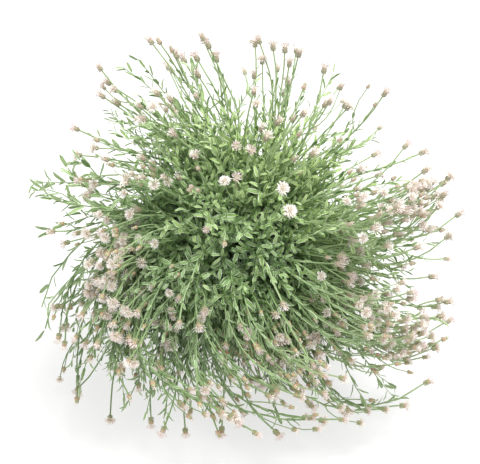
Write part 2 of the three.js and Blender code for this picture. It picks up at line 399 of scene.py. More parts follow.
branches = 37
upright = math.pi / 2
lowest_launch = math.radians(11)
golden_angle = math.pi * (3 - math.sqrt(5))
fork_reach = 0.031
fan_at_fork = 0.28
fan_out_reach = 0.066
lowest_tip = 0.02
stem_habit = {"from": 0.06, "to": 0.205, "lowest": math.radians(-22)}
stem_foot = 0.0205
stem_points = 17
stem_radius = 0.00074
stem_bow = 0.009
stem_curl = 0.009
stem_waver = 0.0014
highest_tip = 0.2995
lowest_point = 0.009
widest_point = 0.209
branch_radius = 0.0028
branch_reach = [0.017, 0.023, 0.03, 0.037]
even_stems = 72
even_globes = 0.12
stem_sway = math.radians(3.5)
shortest_stem, longest_stem = 0.15, 0.208
thicket_spread = 0.7
outline_reach = 0.19
outline_upturn = 0.03
outline_globes = 0.1
most_side_heads = 5
head_sizes = (0.95, 1.22)
outline_head_sizes = (1.08, 1.28)
side_head_sizes = (0.78, 1.08)
stalk_lift = 0.12
sun_side = (0.45, 0.4, 0.8)
viewer_lift = math.radians(40)
viewer_distance = 1.33

# Where the plant carries more stems than its even spread: across and up as the viewer sees them from the
# crown, the spread of each, the number of stems, the mean number of side heads, the share of globes, how far
# the stems hook round and how far their ends turn up
thickets = [
    (-0.130, -0.030, 0.024, 0.042, 40, 3.0, 0.42, 0.20, -0.015),
    (-0.095, -0.085, 0.045, 0.040, 16, 2.0, 0.25, 0.30, -0.03),
    (0.015, -0.145, 0.095, 0.020, 22, 2.4, 0.22, 0.60, -0.01),
    (0.045, -0.095, 0.050, 0.038, 30, 3.0, 0.16, 0.30, -0.01),
    (0.163, 0.042, 0.026, 0.026, 18, 3.0, 0.25, 0.15, 0.035),
    (0.168, -0.080, 0.028, 0.038, 17, 3.0, 0.20, 0.20, 0.02),
    (0.118, -0.055, 0.028, 0.022, 16, 3.2, 0.25, 0.20, 0.01),
    (0.050, 0.040, 0.070, 0.050, 8, 1.2, 0.20, 0.1, 0),
    (0.000, 0.150, 0.090, 0.040, 12, 0.6, 0.15, 0.04, 0),
    (-0.110, 0.100, 0.050, 0.050, 10, 1.2, 0.30, 0.1, 0.01),
]

# Stems that stand out of the outline, by where the viewer sees their tips, and the kind of head each carries
outline_tips = [
    (-0.092, 0.224, "opening"), (-0.084, 0.217, "bud"), (-0.041, 0.218, "opening"), (-0.035, 0.206, "open"),
    (-0.072, 0.203, "bud"), (-0.067, 0.196, "open"), (-0.059, 0.191, "opening"), (-0.046, 0.193, "opening"),
    (-0.028, 0.192, "opening"), (0.015, 0.224, "opening"), (0.028, 0.203, "open"), (0.039, 0.204, "opening"),
    (0.052, 0.200, "open"), (0.017, 0.190, "globe"), (0.043, 0.187, "open"), (0.077, 0.180, "opening"),
    (0.135, 0.157, "open"), (-0.142, 0.184, "open"), (-0.133, 0.170, "open"), (-0.139, 0.157, "opening"),
    (-0.124, 0.150, "opening"), (-0.100, 0.137, "open"), (-0.162, 0.100, "globe"), (-0.146, 0.108, "globe"),
    (0.155, 0.105, "opening"), (0.173, 0.081, "opening"), (0.205, 0.038, "opening"), (0.195, 0.016, "globe"),
    (0.180, 0.056, "open"), (0.179, -0.021, "opening"), (0.200, -0.069, "opening"), (0.203, -0.088, "bud"),
    (0.189, -0.096, "globe"), (0.184, -0.135, "open"), (0.147, -0.165, "open"), (0.080, -0.170, "opening"),
    (0.028, -0.172, "open"), (-0.028, -0.172, "bud"), (-0.060, -0.170, "open"), (-0.090, -0.165, "opening"),
    (-0.134, -0.158, "globe"), (-0.168, -0.140, "bud"),
]


def unit(vectors):
    return vectors / np.linalg.norm(vectors, axis=-1, keepdims=True)


def launch_direction(index, count, offset=0.0):
    """Even directions over the cap above the lowest launch angle, from the zenith down."""
    rise = 1 - ((index + 0.5) / count) * (1 - math.sin(lowest_launch))
    across = math.sqrt(1 - rise * rise)
    azimuth = index * golden_angle + offset
    return np.array([across * math.cos(azimuth), across * math.sin(azimuth), rise])


def grown_to(headings, reach, habit, sway_rise, sway_turn, hook):
    """Where growth launched in a direction is at each reach. The lower it starts, the further it arches and
    hangs. Sway leans it up and round a little, and a hook turns its end round the plant."""
    launch = np.arcsin(headings[:, 2])
    share = np.clip((reach - habit["from"]) / (habit["to"] - habit["from"]), 0, 1)
    hang = share * share * (3 - 2 * share)
    tip = upright - (upright - launch) / (upright - lowest_launch) * (upright - habit["lowest"])
    grown = (reach / habit["to"]) ** 2
    steepest = np.arcsin((lowest_tip - crown[2]) / np.maximum(reach, crown[2]))
    elevation = np.maximum(launch + (tip - launch) * hang + sway_rise * grown, steepest)
    azimuth = np.arctan2(headings[:, 1], headings[:, 0]) + sway_turn * grown + hook * grown ** 2
    level = reach * np.cos(elevation)
    return crown + np.stack([level * np.cos(azimuth), level * np.sin(azimuth), reach * np.sin(elevation)], 1)


def growth_line(axis, growth, points):
    """The line that growth follows from the woody crown, out of the fork of its branch, to its tip. It bows
    and sags, its end turns up or down, and it is held within the plant's height and width."""
    reach = np.linspace(stem_foot, growth["reach"], points)
    fan = fan_at_fork + (reach - fork_reach) / (fan_out_reach - fork_reach) * (1 - fan_at_fork)
    fan = np.clip(fan, 0.1, 1)[:, None]
    headings = unit(axis * (1 - fan) + growth["direction"] * fan)
    rise, turn, hook, upturn = (growth.get(key, 0) for key in ("rise", "turn", "hook", "upturn"))
    line = grown_to(headings, reach, growth["habit"], rise, turn, hook)
    ahead = unit(line[-1] - line[0])
    side = unit(np.cross(ahead, [0.13, 0.07, 1]))
    over = np.cross(side, ahead)
    run = np.linspace(0, 1, points)
    bow = np.sin(math.pi * run ** 1.25)
    phase = 2 * math.pi * growth["phase"]
    waver = stem_waver * np.sin(math.pi * run) * np.sin(2 * math.pi * 2.5 * run + phase)
    line += np.outer(bow * growth["bow"] + waver, side)
    line += np.outer(bow * growth["sag"] + waver * 0.7, over)
    line[:, 2] += upturn * np.clip((run - 0.4) / 0.6, 0, 1) ** 2
    if line[-1, 2] > highest_tip:
        line[:, 2] = crown[2] + (line[:, 2] - crown[2]) * (highest_tip - crown[2]) / (line[-1, 2] - crown[2])
    line[:, 2] = np.maximum(line[:, 2], lowest_point)
    line[:, :2] *= np.minimum(1, widest_point / np.maximum(np.hypot(line[:, 0], line[:, 1]), 0.01))[:, None]
    return line


def nearest(axes, direction):
    return int(np.argmax([axis @ direction for axis in axes]))


def thicket_tip(row, stretch, least, most):
    """A random tip in a thicket: its place across and up, and a reach that is somewhat more than that."""
    across = row[0] + row[2] * rng.normal() * thicket_spread
    up = row[1] + row[3] * rng.normal() * thicket_spread
    return across, up, min(max(math.hypot(across, up) * rng.uniform(*stretch), least), most)


def seen_growth(across, up, reach, hook, upturn):
    """Growth whose tip the viewer sees at a place, once it has arched, turned up and hooked round. First
    comes the direction of the tip from the crown, by steps because nearer things look larger, and then that
    of its launch."""
    scale, up = 1.0, up - upturn * math.cos(viewer_lift)
    for _ in range(4):
        a, b = across / (reach * scale), up / (reach * scale)
        size = math.hypot(a, b)
        if size > 0.985:
            a, b = a / size * 0.985, b / size * 0.985
        depth = math.sqrt(1 - a * a - b * b)
        scale = 1 / (1 - reach * depth / viewer_distance)
    sine, cosine = math.sin(viewer_lift), math.cos(viewer_lift)
    tip = np.array([a, b * sine - depth * cosine, b * cosine + depth * sine])
    lowest = math.sin(stem_habit["lowest"])
    if tip[2] < lowest:
        tip[:2] *= math.sqrt(1 - lowest * lowest) / math.hypot(tip[0], tip[1])
        tip[2] = lowest
    share = min(max((reach - stem_habit["from"]) / (stem_habit["to"] - stem_habit["from"]), 0), 1)
    hang = share * share * (3 - 2 * share)
    bend = (upright - stem_habit["lowest"]) / (upright - lowest_launch) - 1
    polar = (upright - math.asin(tip[2])) / (1 + bend * hang)
    launch = max(upright - polar, lowest_launch)
    azimuth = math.atan2(tip[1], tip[0])
    x, y = math.cos(launch) * math.cos(azimuth), math.cos(launch) * math.sin(azimuth)
    back = -hook * (reach / stem_habit["to"]) ** 4
    x, y = x * math.cos(back) - y * math.sin(back), x * math.sin(back) + y * math.cos(back)
    direction = np.array([x, y, math.sin(launch)])
    return {"direction": direction, "reach": reach, "hook": hook, "upturn": upturn, "habit": stem_habit}


def side_line(line, back, length, bend, lift):
    """A line that leaves another a distance back from its tip, sets off to one side and bends along it."""
    lengths = np.linalg.norm(np.diff(line, axis=0), axis=1)
    at = min(int(np.searchsorted(np.cumsum(lengths), lengths.sum() - back)), len(line) - 2)
    along = unit(line[at + 1] - line[at])
    aside = unit(np.cross(along, rng.normal(size=3)))
    run = np.linspace(0, 1, 5)[:, None]
    offset = along * (0.55 * run + 0.45 * run ** 2) + aside * bend * 0.6 * (2 * run - run ** 2)
    points = line[at] + length * (offset + np.array([0, 0, lift]) * run ** 2)
    points[:, 2] = np.clip(points[:, 2], lowest_point, highest_tip)
    return points


def on_branch(growths, branch):
    return [growth for growth in growths if growth["branch"] == branch]


def rods(name, lines, material, sides):
    """One piece of tapering round rods. Each is a line of points with a radius at every point."""
    curve = bpy.data.curves.new(name, "CURVE")
    curve.dimensions = "3D"
    curve.bevel_depth = 1
    curve.bevel_resolution = sides // 2 - 2
    curve.use_fill_caps = True
    for points, radii in lines:
        spline = curve.splines.new("POLY")
        spline.points.add(len(points) - 1)
        spline.points.foreach_set("co", np.column_stack([points, np.ones(len(points))]).ravel())
        spline.points.foreach_set("radius", radii)
    select_only(placed(name, curve))
    bpy.ops.object.convert(target="MESH")
    piece = bpy.context.active_object
    piece.data.materials.clear()
    piece.data.materials.append(material)
    smooth(piece, 60)
    return piece


def from_crown(material):
    """How far a point is from the woody crown."""
    place = add(material, "TexCoord", {}).outputs["Object"]
    return add(material, "VectorMath", {0: place, 1: tuple(crown)}, operation="DISTANCE").outputs["Value"]


def sunward(material):
    """How far a point is towards the sunny side of the plant, from its foot, which sets where light and shade
    are painted.
    """
    place = add(material, "TexCoord", {}).outputs["Object"]
    return add(material, "VectorMath", {0: place, 1: sun_side}, operation="DOT_PRODUCT").outputs["Value"]


axes = [launch_direction(i, branches) for i in range(branches)]
flowering_axes, leafy_axes = axes[0::2], axes[1::2]

stems = []
for i in range(even_stems):
    stems.append({
        "direction": launch_direction(i, even_stems),
        "habit": stem_habit,
        "reach": shortest_stem + (longest_stem - shortest_stem) * scatter(i, 1),
        "rise": stem_sway * (2 * scatter(i, 2) - 1),
        "turn": stem_sway * (2 * scatter(i, 3) - 1),
        "side_heads": rng.choice([0, 1, 2], p=[0.7, 0.22, 0.08]),
        "globes": even_globes,
    })
for *spread, number, mean_heads, globes, mean_hook, mean_upturn in thickets:
    for _ in range(number):
        across, up, reach = thicket_tip(spread, (1.06, 1.38), 0.150, 0.205)
        upturn = mean_upturn * rng.uniform(0.4, 1.6)
        stem = seen_growth(across, up, reach, mean_hook * rng.uniform(0, 2), upturn)
        stems.append(stem | {"side_heads": min(rng.poisson(mean_heads), most_side_heads), "globes": globes})
for across, up, kind in outline_tips:
    reach = max(math.hypot(across, up), outline_reach)
    upturn = outline_upturn * max(0.0, across / reach)
    stem = seen_growth(across, up, reach, (0.04 if up > 0.15 else 0.2) * rng.uniform(0.2, 1.8), upturn)
    side_heads = rng.choice([0, 1, 2], p=[0.6, 0.32, 0.08])
    stems.append(stem | {"side_heads": side_heads, "globes": outline_globes, "kind": kind})

# On each branch, the even stem nearest its axis leads, and carries the open head that is a piece of its own
leading = {}
for i, stem in enumerate(stems):
    stem["phase"] = rng.uniform()
    stem["bow"] = stem_curl * (stem["reach"] / longest_stem) ** 2 + stem_bow * rng.normal() * 0.6
    low = max(0.0, 0.8 - stem["direction"][2])
    stem["sag"] = -stem_bow * (0.4 * rng.normal() + 1.6 * low)
    stem["branch"] = nearest(flowering_axes, stem["direction"])
    nearness = stem["direction"] @ flowering_axes[stem["branch"]]
    if i < even_stems and nearness > leading.get(stem["branch"], (-1, 0))[0]:
        leading[stem["branch"]] = (nearness, i)
for _, i in leading.values():
    stems[i] |= {"leads": True, "side_heads": 0, "bow": stems[i]["bow"] * 0.5}
for stem in stems:
    stem["line"] = growth_line(flowering_axes[stem["branch"]], stem, stem_points)

for stem in stems:
    ahead = unit(stem["line"][-1] - stem["line"][-3])
    size = rng.uniform(*(outline_head_sizes if "kind" in stem else head_sizes))
    stem["heads"] = [{"place": stem["line"][-1], "ahead": ahead, "size": size}]
    stem["stalks"] = []
    for _ in range(stem["side_heads"]):
        back = rng.uniform(0.018, 0.06)
        length, bend = back * rng.uniform(0.55, 0.95), rng.uniform(0.35, 0.8)
        stalk = side_line(stem["line"], back, length, bend, stalk_lift)
        stem["stalks"].append(stalk)
        stem["heads"].append({
            "place": stalk[-1],
            "ahead": unit(stalk[-1] - stalk[-2]),
            "size": rng.uniform(*side_head_sizes),
        })

skin = new_finish("stem_skin", 0.7)
middle = from_crown(skin)
stem_green = mixed(skin, mottle(skin, 30, 2), "#8aa36d", "#b1c397")
stem_brown = mixed(skin, mottle(skin, 300, 4), "#6a5640", "#93805f")
# Painted shade: the stems are painted darker green in the dense core near the crown.
stem_green = mixed(skin, ranged(skin, middle, 0.09, 0.16), "#7b9a5c", stem_green)
# Painted shade: the stems are painted a deeper green on the side away from the sun.
stem_green = mixed(skin, ranged(skin, sunward(skin), 0.10, -0.03, 0.6), stem_green, "#648548")
stem_colour = mixed(skin, ranged(skin, middle, 0.036, 0.075), stem_brown, stem_green)
coat(skin, stem_colour, mottle(skin, 900, 3), 0.25, 0.0002)

branch_radii = np.array([0.8, 1.05, 1.15, 0.5]) * branch_radius
for branch, axis in enumerate(flowering_axes):
    lines = [(crown + np.outer(branch_reach, axis), branch_radii)]
    for stem in on_branch(stems, branch):
        lines.append((stem["line"], stem_radius * (1.4 - 0.42 * np.linspace(0, 1, stem_points) ** 0.6)))
        for stalk in stem["stalks"]:
            lines.append((stalk, stem_radius * np.linspace(0.8, 0.65, len(stalk))))
    piece = rods(f"stems_{branch + 1:02d}", lines, skin, 6)
    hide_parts(f"flowering_stems_{branch + 1:02d}")
    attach(piece, "root")


# Leafy shoots. Shorter flowerless shoots between the flowering ones make the dense green body of the plant.
# They leave the crown in the same way, fork into side twigs and hang over the rim, and a few long ones stand
# out of the outline: stouter ones, and at the far left bare arching ones with sparse leaves.

shoot_habit = {"from": 0.045, "to": 0.125, "lowest": math.radians(-28)}
even_shoots = 68
shoot_tuft = 3
tuft_spread = 0.1
shortest_shoot, longest_shoot = 0.085, 0.148
rim_shoots = 50
shoot_sway = 0.09
shoot_whirl = 0.16

# Where there are more shoots: across, up, the spread of each, their number, and how far they hook and turn up
leafy_thickets = [
    (-0.020, 0.055, 0.055, 0.030, 16, 0.1, 0),
    (-0.115, 0.130, 0.022, 0.022, 8, 0.1, 0),
    (0.000, 0.015, 0.055, 0.040, 26, 0.1, 0),
    (-0.110, 0.010, 0.030, 0.050, 26, 0.2, -0.015),
    (-0.150, -0.050, 0.025, 0.050, 22, 0.3, -0.03),
    (-0.100, -0.085, 0.042, 0.045, 34, 0.3, -0.03),
    (-0.005, -0.092, 0.075, 0.028, 46, 0.4, -0.015),
    (0.105, -0.085, 0.045, 0.035, 14, 0.2, 0),
    (0.120, 0.000, 0.040, 0.050, 6, 0.1, 0.01),
    (0.055, 0.105, 0.035, 0.030, 10, 0.05, 0),
    (0.010, 0.150, 0.020, 0.020, 4, 0.05, 0),
    (-0.040, 0.105, 0.070, 0.035, 14, 0.05, 0),
    (-0.090, 0.085, 0.035, 0.035, 10, 0.1, 0),
]
shortest_twig, longest_twig = 0.026, 0.05
twig_lift = 0.1
shoot_bow = 0.010
shoot_sag = 0.007
shoot_radius = 0.0006
shoot_points = 11
far_left = -0.19
longest_reach = 0.221

# Long shoots that stand out of the outline, by where the viewer sees their tips
long_shoots = [
    (-0.216, 0.052), (-0.212, 0.040), (-0.202, 0.050), (-0.192, 0.036), (-0.212, -0.050), (-0.214, -0.075),
    (-0.207, -0.062), (-0.120, 0.190), (-0.128, 0.200), (0.110, 0.110), (0.130, 0.120), (0.150, 0.085),
    (-0.060, 0.190), (0.060, 0.185), (0.190, -0.060), (0.160, -0.010), (-0.120, -0.150), (-0.170, -0.110),
    (-0.080, -0.165), (0.030, -0.168), (0.120, -0.150), (0.185, 0.020),
]

shoots = []
for i in range(even_shoots):
    middle_direction = launch_direction(i, even_shoots, 0.5)
    for _ in range(shoot_tuft):
        direction = unit(middle_direction + tuft_spread * rng.normal(size=3))
        direction[2] = max(direction[2], math.sin(lowest_launch))
        shoots.append({"direction": unit(direction), "reach": rng.uniform(shortest_shoot, longest_shoot)})
for i in range(rim_shoots):
    bearing = i * golden_angle
    launch = lowest_launch + rng.uniform(0, 0.22)
    level = math.cos(launch)
    direction = np.array([level * math.cos(bearing), level * math.sin(bearing), math.sin(launch)])
    shoots.append({"direction": direction, "reach": rng.uniform(0.105, longest_shoot)})
for shoot in shoots:
    shoot["habit"] = shoot_habit
for *spread, number, mean_hook, mean_upturn in leafy_thickets:
    for _ in range(number):
        across, up, reach = thicket_tip(spread, (1.02, 1.25), 0.11, 0.195)
        hook, upturn = mean_hook * rng.uniform(0, 2), mean_upturn * rng.uniform(0.4, 1.6)
        shoots.append(seen_growth(across, up, reach, hook, upturn))
for across, up in long_shoots:
    drooping = across < far_left and up < 0
    hook, upturn = (0.2, -0.06) if drooping else (0.1, 0.0)
    reach = min(math.hypot(across, up) * 1.05, longest_reach)
    shoot = seen_growth(across, up, reach, hook * rng.uniform(0.4, 1.6), upturn)
    shoots.append(shoot | {"stout": 1.6 if across < far_left else 1.3, "sparse": 2.5 if drooping else 1})
for shoot in shoots:
    shoot |= {"rise": shoot_sway * rng.normal(), "turn": shoot_whirl * rng.uniform(-0.5, 1.5)}
    shoot["phase"] = rng.uniform()
    if shoot["habit"] is stem_habit:
        shoot["turn"] = 0
    shoot |= {"bow": shoot_bow * rng.normal(), "sag": shoot_sag * rng.normal()}
    shoot["branch"] = nearest(leafy_axes, shoot["direction"])
    shoot["line"] = growth_line(leafy_axes[shoot["branch"]], shoot, shoot_points)
    shoot["twigs"] = [
        side_line(shoot["line"], rng.uniform(0.2, 0.65) * shoot["reach"],
                  rng.uniform(shortest_twig, longest_twig), rng.uniform(0.7, 1.5), twig_lift)
        for _ in range(rng.integers(1, 3) if shoot.get("sparse", 1) == 1 else 0)
    ]

for branch, axis in enumerate(leafy_axes):
    lines = [(crown + np.outer(branch_reach, axis), branch_radii)]
    for shoot in on_branch(shoots, branch):
        radius = shoot_radius * shoot.get("stout", 1) * shoot.get("sparse", 1) ** 0.3
        lines.append((shoot["line"], radius * np.linspace(1.4, 0.6, shoot_points)))
        for twig in shoot["twigs"]:
            lines.append((twig, radius * np.linspace(0.8, 0.5, len(twig))))
    piece = rods(f"shoots_{branch + 1:02d}", lines, skin, 4)
    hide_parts(f"leafy_shoots_{branch + 1:02d}")
    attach(piece, "root")


# Leaves. Narrow, pointed oblong leaves, alternate on every stem and shoot, green above with paler margins and
# midrib and felted pale grey-green below. Two blades are modelled flat, a full one and a slighter one. Each
# is bent in two ways and copied along the growth, and every leaf starts on its stem.

# Rings of each blade, as shares of its length: how far along, and half the width
blade_rings = [(0.20, 0.070), (0.56, 0.124), (0.85, 0.090)]
slight_blade_rings = [(0.32, 0.105), (0.76, 0.112)]
blade_thickness = 0.018
leaf_longest = 0.0178
leaf_shortest = 0.0106
stem_leaf_longest = 0.0160
shoot_leaf_spacing = 0.0054
twig_leaf_spacing = 0.0052
stem_leaf_spacing = 0.0060
leaves_from = 0.062
twig_leaves_from = 0.003
stem_leaves_from = 0.045
past_tip = -0.001
bare_top = (0.012, 0.034)
outline_bare_top = 0.004
shoot_leaf_lean, twig_leaf_lean, stem_leaf_lean = 0.7, 0.75, 0.42
shoot_leaf_lift, stem_leaf_lift = 0.4, 0.3


def flat_blade(name, sides, rings, thickness):
    """A closed blade along +Y of length 1, from a point at its foot to one at its tip, drawn ring by ring."""
    piece = circle(name, sides, radius=1, fill_type="NOTHING", rotation=(math.pi / 2, 0, 0))
    place, width = rings[0]
    bpy.ops.transform.resize(value=(width, 1, thickness), center_override=(0, 0, 0))
    bpy.ops.transform.translate(value=(0, place, 0))
    for next_place, next_width in rings[1:]:
        extrude(0, next_place - place, 0)
        bpy.ops.transform.resize(value=(next_width / width, 1, 1), center_override=(0, next_place, 0))
        place, width = next_place, next_width
    extrude(0, 1 - place, 0)
    bpy.ops.mesh.merge(type="CENTER")
    bpy.ops.object.mode_set(mode="OBJECT")
    for edge in piece.data.edges:
        edge.select = all(abs(piece.data.vertices[v].co.y - rings[0][0]) < 1e-5 for v in edge.vertices)
    bpy.ops.object.mode_set(mode="EDIT")
    extrude(0, -rings[0][0], 0)
    bpy.ops.mesh.merge(type="CENTER")
    close_mesh()
    return arrays(piece)


def toned(blade):
    """Marks each corner by its nearness to the margin, its place along and how far underneath it is."""
    across, along, height = blade["corners"].T
    margin = np.where(np.abs(across) > 1e-4, 1.0, 0.0)
    margin[(along < 1e-4) | (along > 1 - 1e-4)] = 0.5
    under = np.where(np.abs(height) < 1e-5, 0.5, np.where(height > 0, 0.0, 1.0))
    return blade | {"tones": np.stack([margin, along, under], 1)}


def bent(blade, fold, arch, twist):
    """A blade with its margins folded up, its tip arched down and its length twisted."""
    across, along, height = blade["corners"].T.copy()
    height = height + fold * np.abs(across)
    angle = twist * along
    sine, cosine = np.sin(angle), np.cos(angle)
    across, height = across * cosine - height * sine, across * sine + height * cosine
    if arch:
        turn = arch * along
        height = height * np.cos(turn) - (1 - np.cos(turn)) / arch
        along = np.sin(turn) / arch
    return blade | {"corners": np.stack([across, along, height], 1)}


blade = toned(flat_blade("leaf_pattern", 4, blade_rings, blade_thickness))
slight_blade = toned(flat_blade("slight_leaf_pattern", 4, slight_blade_rings, blade_thickness))
leaf_kinds = [
    bent(blade, 0.30, 0.35, 0.0),
    bent(blade, 0.45, 0.8, 0.25),
    bent(slight_blade, 0.20, -0.25, -0.3),
    bent(slight_blade, 0.50, 0.6, -0.15),
]


def tone_of(material):
    """The parts of the attribute tone: nearness to the margin, place along the shape, underside, and tint."""
    tone = add(material, "Attribute", {}, attribute_name="tone")
    parts = add(material, "SeparateColor", {0: tone.outputs["Color"]})
    return *parts.outputs[:3], tone.outputs["Alpha"]


def leaf_spots(line, start, end, spacing, longest, shortest, spread, lift):
    """Places, turns, sizes and tints of the leaves on a line, in a spiral, shorter and closer to the stem
    upwards. They leave it at up to the spread's angle, and lift turns their upper faces to the sky."""
    steps = np.linalg.norm(np.diff(line, axis=0), axis=1)
    run = np.concatenate([[0], np.cumsum(steps)])
    at = np.arange(start, run[-1] - end, spacing)
    at = at + rng.uniform(-0.35, 0.35, len(at)) * spacing
    number = len(at)
    places = np.stack([np.interp(at, run, line[:, k]) for k in range(3)], 1)
    slopes = np.gradient(line, run, axis=0)
    along = unit(np.stack([np.interp(at, run, slopes[:, k]) for k in range(3)], 1))
    level = unit(np.cross(along, [0.05, 0.03, 1]))
    over = np.cross(level, along)
    spiral = (np.arange(number) * golden_angle + rng.uniform(0, 6.28) + rng.normal(0, 0.35, number))[:, None]
    outward = level * np.cos(spiral) + over * np.sin(spiral)
    share = np.linspace(0, 1, number)
    lean = ((1 - 0.45 * share) * spread * rng.uniform(0.7, 1.3, number))[:, None]
    axis = along * np.cos(lean) + outward * np.sin(lean)
    face = along * np.sin(lean) - outward * np.cos(lean) + np.array([0, 0, lift])
    face = face + 0.35 * rng.normal(size=(number, 3))
    face = unit(face - np.sum(face * axis, 1)[:, None] * axis)
    turns = np.stack([np.cross(axis, face), axis, face], 2)
    length = (longest + (shortest - longest) * share ** 1.5) * rng.uniform(0.72, 1.15, number)
    sizes = length[:, None] * np.stack([rng.uniform(0.82, 1.15, number), np.ones(number), np.ones(number)], 1)
    tints = np.clip(rng.uniform() * 0.5 + rng.uniform(0, 0.5, number), 0, 1)
    return places, turns, sizes, tints


def shared_out(spots, kinds):
    """Deals spots out among the kinds of a shape, as batches for copies()."""
    places, turns, sizes, tints = (np.concatenate(part) for part in zip(*spots))
    dealt = rng.integers(0, len(kinds), len(places))
    return [(kind, places[dealt == k], turns[dealt == k], sizes[dealt == k], tints[dealt == k])
            for k, kind in enumerate(kinds)]


leaf = new_finish("leaf_green", 0.55)
margin, _, under, tint = tone_of(leaf)
middle, sunny = from_crown(leaf), sunward(leaf)
rib, edge = ranged(leaf, margin, 0.12, 0.0, 0.9), ranged(leaf, margin, 0.62, 0.82, 0.9)
leaf_colour = layered(
    leaf,
    mixed(leaf, tint, "#42722f", "#98bb5e"),
    (ranged(leaf, mottle(leaf, 16, 2), 0.4, 0.75), "#6b9a42"),
    # Painted shade: leaves in the dense core near the crown are painted darker green.
    (ranged(leaf, middle, 0.12, 0.06), "#4a8140"),
    # Painted shade: leaves low on the plant and on the side away from the sun are painted deep green.
    (ranged(leaf, sunny, 0.10, -0.03, 0.9), "#2b5826"),
    # Painted light: leaves high on the sunny side are painted a lighter yellow-green.
    (ranged(leaf, sunny, 0.10, 0.20, 0.55), "#b3cf6c"),
    (ranged(leaf, middle, 0.13, 0.2, 0.75), "#8fa873"),
    (add(leaf, "Math", {0: rib, 1: edge}, operation="MAXIMUM").outputs[0], "#e9f3d6"),
    (ranged(leaf, under, 0.5, 0.75), "#8aa672"),
)
coat(leaf, leaf_colour, mottle(leaf, 1500, 2), 0.2, 0.0002)

for branch in range(len(leafy_axes)):
    spots = []
    for shoot in on_branch(shoots, branch):
        spacing = shoot_leaf_spacing * shoot.get("sparse", 1)
        longest, shortest = leaf_longest * shoot.get("stout", 1) ** 0.5, leaf_shortest * shoot.get("stout", 1)
        spots.append(leaf_spots(shoot["line"], leaves_from - stem_foot, past_tip, spacing, longest, shortest,
                                shoot_leaf_lean, shoot_leaf_lift))
        for twig in shoot["twigs"]:
            spots.append(leaf_spots(twig, twig_leaves_from, past_tip, twig_leaf_spacing, longest, shortest,
                                    twig_leaf_lean, shoot_leaf_lift))
    piece = copies(f"shoot_leaves_{branch + 1:02d}", shared_out(spots, leaf_kinds), leaf)
    smooth(piece, 50)
    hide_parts(f"leafy_shoots_{branch + 1:02d}")
    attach(piece, "root")

for branch in range(len(flowering_axes)):
    spots = []
    for stem in on_branch(stems, branch):
        bare = rng.uniform(*bare_top) + (outline_bare_top if "kind" in stem else 0)
        spots.append(leaf_spots(stem["line"], stem_leaves_from, bare, stem_leaf_spacing, stem_leaf_longest,
                                leaf_shortest, stem_leaf_lean, stem_leaf_lift))
    piece = copies(f"stem_leaves_{branch + 1:02d}", shared_out(spots, leaf_kinds), leaf)
    smooth(piece, 50)
    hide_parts(f"flowering_stems_{branch + 1:02d}")
    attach(piece, "root")


# Cups. Every flower head stands in a bell-shaped cup of small overlapping bracts, grey-green at the foot and
# tan-pink towards the tips and salmon on closed heads, with a painted highlight that makes them paler and
# greyer on the sunny side. The core and one bract are modelled and copied: five rows of bracts round each
# core, which sits on the end of its stem or stalk.

cup_radius = 0.0018
cup_height = 0.0056
cup_profile = [(0.30, 0.0), (0.80, 0.17), (0.98, 0.50), (0.85, 1.0)]
cup_sides = 6
core_tint = 0.45
closed_tint, open_tint = 0.42, -0.2
side_kinds, end_kinds = [0.6, 0.25, 0.15], [0.3, 0.4, 0.3]

# Each row's height and radius as shares of the cup's, its number of bracts, and their length, width and lean
bract_rows = np.array([
    (0.02, 0.55, 4, 0.36, 0.36, 0.85),
    (0.14, 0.88, 5, 0.40, 0.34, 0.42),
    (0.32, 1.00, 5, 0.42, 0.34, 0.14),
    (0.48, 1.02, 5, 0.44, 0.32, 0.0),
    (0.64, 0.98, 5, 0.46, 0.30, 0.0),
])

heads = []
for stem in stems:
    for number, head in enumerate(stem["heads"]):
        if stem.get("leads"):
            head["kind"] = "open"
        elif number == 0 and "kind" in stem:
            head["kind"] = stem["kind"]
        elif rng.uniform() < stem["globes"]:
            head["kind"] = "globe"
        else:
            head["kind"] = rng.choice(["bud", "opening", "open"], p=side_kinds if number else end_kinds)
        head |= {"branch": stem["branch"], "leads": bool(stem.get("leads")), "tint": rng.uniform()}
        heads.append(head)

core = arrays(drawn("cup_core", cup_sides, cup_profile))
core["tones"] = np.outer(core["corners"][:, 2], [0, 0.4, 0])
bract = toned(flat_blade("bract_pattern", 3, [(0.5, 0.55)], 0.2))


def head_frame(head):
    """A head's own axes as columns, with its third along the stalk."""
    ahead = head["ahead"]
    side = unit(np.cross(ahead, [0.21, 0.4, 0.6]))
    return np.stack([side, np.cross(ahead, side), ahead], 1)


def set_round(head, bearing, lean, radius, height, sizes, tints):
    """Spots for copies() round a head's axis: at bearings, leaning out of it, at a radius and a height."""
    frame_of_head, up = head_frame(head), np.array([0.0, 0.0, 1.0])
    out = np.stack([np.cos(bearing), np.sin(bearing), np.zeros(len(bearing))], 1)
    along = out * np.sin(lean)[:, None] + up * np.cos(lean)[:, None]
    face = out * np.cos(lean)[:, None] - up * np.sin(lean)[:, None]
    places = out * radius[:, None] + np.outer(height, up)
    turns = np.stack([np.cross(along, face), along, face], 2)
    places = head["place"] + head["size"] * places @ frame_of_head.T
    return places, frame_of_head @ turns, head["size"] * sizes, tints


def cup_of(head):
    """The spots of a head's bracts. Those of a closed head lean in and are tinted for it."""
    closed = 1 if head["kind"] == "bud" else 0
    row = np.repeat(np.arange(len(bract_rows)), bract_rows[:, 2].astype(int))
    height, radius, number, length, width, lean = bract_rows[row].T
    bearing = 2 * math.pi * (np.arange(len(row)) + 0.5 * row) / number + head["tint"] * 6
    tints = 0.20 * row + 0.12 * head["tint"] + (closed_tint if closed else open_tint)
    lean, radius = lean - closed * 0.1 * row, cup_radius * radius * (1 - 0.07 * closed * row)
    sizes = cup_height * np.stack([width, length, length], 1)
    return set_round(head, bearing, lean, radius, cup_height * height, sizes, tints)


